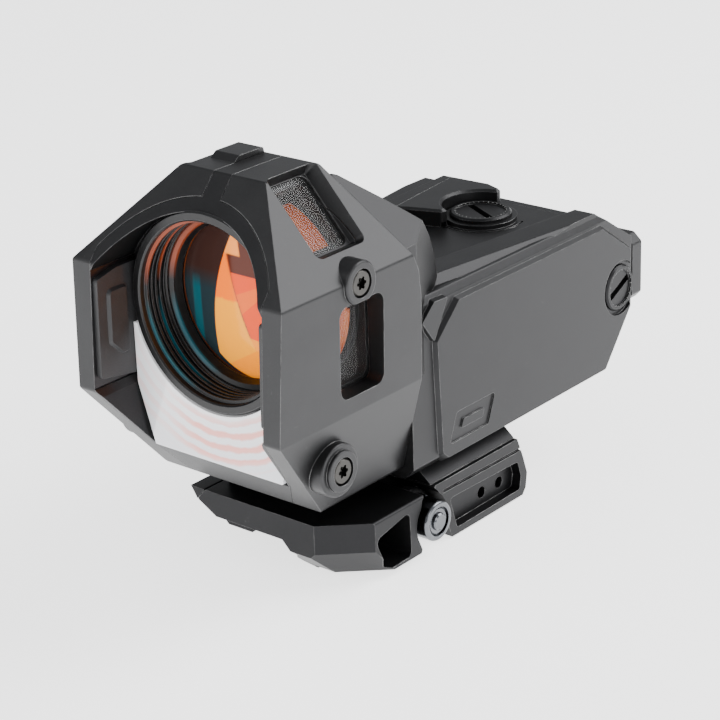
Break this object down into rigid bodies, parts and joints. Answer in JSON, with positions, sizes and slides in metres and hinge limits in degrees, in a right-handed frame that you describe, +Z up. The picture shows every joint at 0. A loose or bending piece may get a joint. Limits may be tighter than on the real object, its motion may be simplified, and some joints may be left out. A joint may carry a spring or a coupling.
{
  "type": "reflex weapon sight",
  "caption": "Armoured reflex dot sight: octagonal hood round a coated lens, rear body with elevation and windage dials, and a lever clamp for an accessory rail.",
  "frame": {"origin": "middle of the flat seat that rests on the rail's top, half a groove pitch behind the cross bolt", "axes": "+X to the shooter's left, the side with the windage dial; +Y to the rear, towards the eye; +Z up"},
  "size_m": [0.056, 0.1219, 0.0833],
  "materials": {
    "body_coat": "matte hard-anodised",
    "shell_coat": "matte hard-anodised",
    "liner": "satin",
    "screw_steel": "dark satin",
    "window_glass": "clear",
    "tube_black": "black anodised, semi-gloss",
    "coated_glass": "amber dichroic coating",
    "fibre": "glowing orange fibre",
    "collector": "clear moulded",
    "seal_rubber": "matt",
    "dial_black": "black anodised",
    "brass": "machined",
    "bare_alloy": "machined",
    "guide_steel": "ground",
    "lamp": "glowing red",
    "mount_coat": "matte hard-anodised",
    "polished_steel": "dark polished",
    "collar_black": "black glossy"
  },
  "bodies": {
    "sight": {"housing": "body_coat", "deck_plate": "body_coat", "rear_cover": "body_coat", "hood_shell_left": "shell_coat", "hood_shell_right": "shell_coat", "hood_liner_left": "liner", "hood_liner_right": "liner", "hood_screw_upper_left": "screw_steel", "hood_screw_upper_right": "screw_steel", "hood_screw_lower_left": "screw_steel", "hood_screw_lower_right": "screw_steel", "cover_screw_1": "screw_steel", "cover_screw_2": "screw_steel", "cover_screw_3": "screw_steel", "cover_screw_4": "screw_steel", "deck_screw_1": "screw_steel", "deck_screw_2": "screw_steel", "base_screw_1": "screw_steel", "base_screw_2": "screw_steel", "base_screw_3": "screw_steel", "base_screw_4": "screw_steel", "side_window_left": "window_glass", "side_window_right": "window_glass", "upper_window_left": "window_glass", "upper_window_right": "window_glass", "rear_window": "window_glass", "lens_tube": "tube_black", "lens_retainer": "tube_black", "rear_window_frame": "tube_black", "objective_front": "coated_glass", "objective_rear": "coated_glass", "fibre_coil": "fibre", "light_collector": "collector", "tube_seal": "seal_rubber", "elevation_seal": "seal_rubber", "windage_seal": "seal_rubber", "rear_gasket": "seal_rubber", "guide_post_left": "guide_steel", "guide_post_right": "guide_steel", "carriage_spring_left": "guide_steel", "carriage_spring_right": "guide_steel", "lever_pin": "guide_steel", "jaw_guide_1": "guide_steel", "jaw_guide_2": "guide_steel", "mount_base": "mount_coat", "recoil_lug": "mount_coat", "cross_bolt": "polished_steel", "nut_collar": "collar_black"},
    "elevation_dial": {"elevation_dial": "dial_black"},
    "elevation_carriage": {"elevation_carriage": "bare_alloy", "elevation_plunger": "brass"},
    "mark_holder": {"mark_holder": "brass", "mark_lamp": "lamp", "mark_mask": "guide_steel"},
    "windage_dial": {"windage_dial": "dial_black"},
    "windage_plunger": {"windage_plunger": "brass"},
    "clamp_jaw": {"clamp_jaw": "mount_coat"},
    "throw_lever": {"throw_lever": "mount_coat"},
    "tension_nut": {"tension_nut": "polished_steel"}
  },
  "joints": [
    {"name": "elevation_turn", "type": "hinge", "parent": "sight", "child": "elevation_dial", "pos_m": [0, 0.0451, 0.0431], "axis": [0, 0, 1], "range_deg": [-360, 360]},
    {"name": "elevation_slide", "type": "slide", "parent": "sight", "child": "elevation_carriage", "axis": [0, 0, 1], "range_m": [-0.0005, 0.0005], "deforming": ["carriage_spring_left", "carriage_spring_right"]},
    {"name": "windage_turn", "type": "hinge", "parent": "sight", "child": "windage_dial", "pos_m": [0.0229, 0.0625, 0.027], "axis": [1, 0, 0], "range_deg": [-360, 360]},
    {"name": "windage_push", "type": "slide", "parent": "sight", "child": "windage_plunger", "axis": [1, 0, 0], "range_m": [-0.0005, 0.0005]},
    {"name": "windage_slide", "type": "slide", "parent": "elevation_carriage", "child": "mark_holder", "axis": [1, 0, 0], "range_m": [-0.0005, 0.0005]},
    {"name": "lever_swing", "type": "hinge", "parent": "sight", "child": "throw_lever", "pos_m": [-0.02406, -0.005, -0.0012], "axis": [0, 0, 1], "range_deg": [0, 150]},
    {"name": "jaw_slide", "type": "slide", "parent": "sight", "child": "clamp_jaw", "axis": [-1, 0, 0], "range_m": [0, 0.0022]},
    {"name": "nut_turn", "type": "hinge", "parent": "sight", "child": "tension_nut", "pos_m": [0.023, -0.005, -0.0012], "axis": [1, 0, 0], "range_deg": [-180, 180]}
  ],
  "couplings": [
    {"joint": "elevation_turn", "follows": "elevation_slide", "rad_per_m": 12566},
    {"joint": "windage_turn", "follows": "windage_slide", "rad_per_m": 12566},
    {"joint": "windage_push", "follows": "windage_slide", "ratio": 1},
    {"joint": "jaw_slide", "follows": "lever_swing", "m_per_rad": 0.00084034}
  ]
}
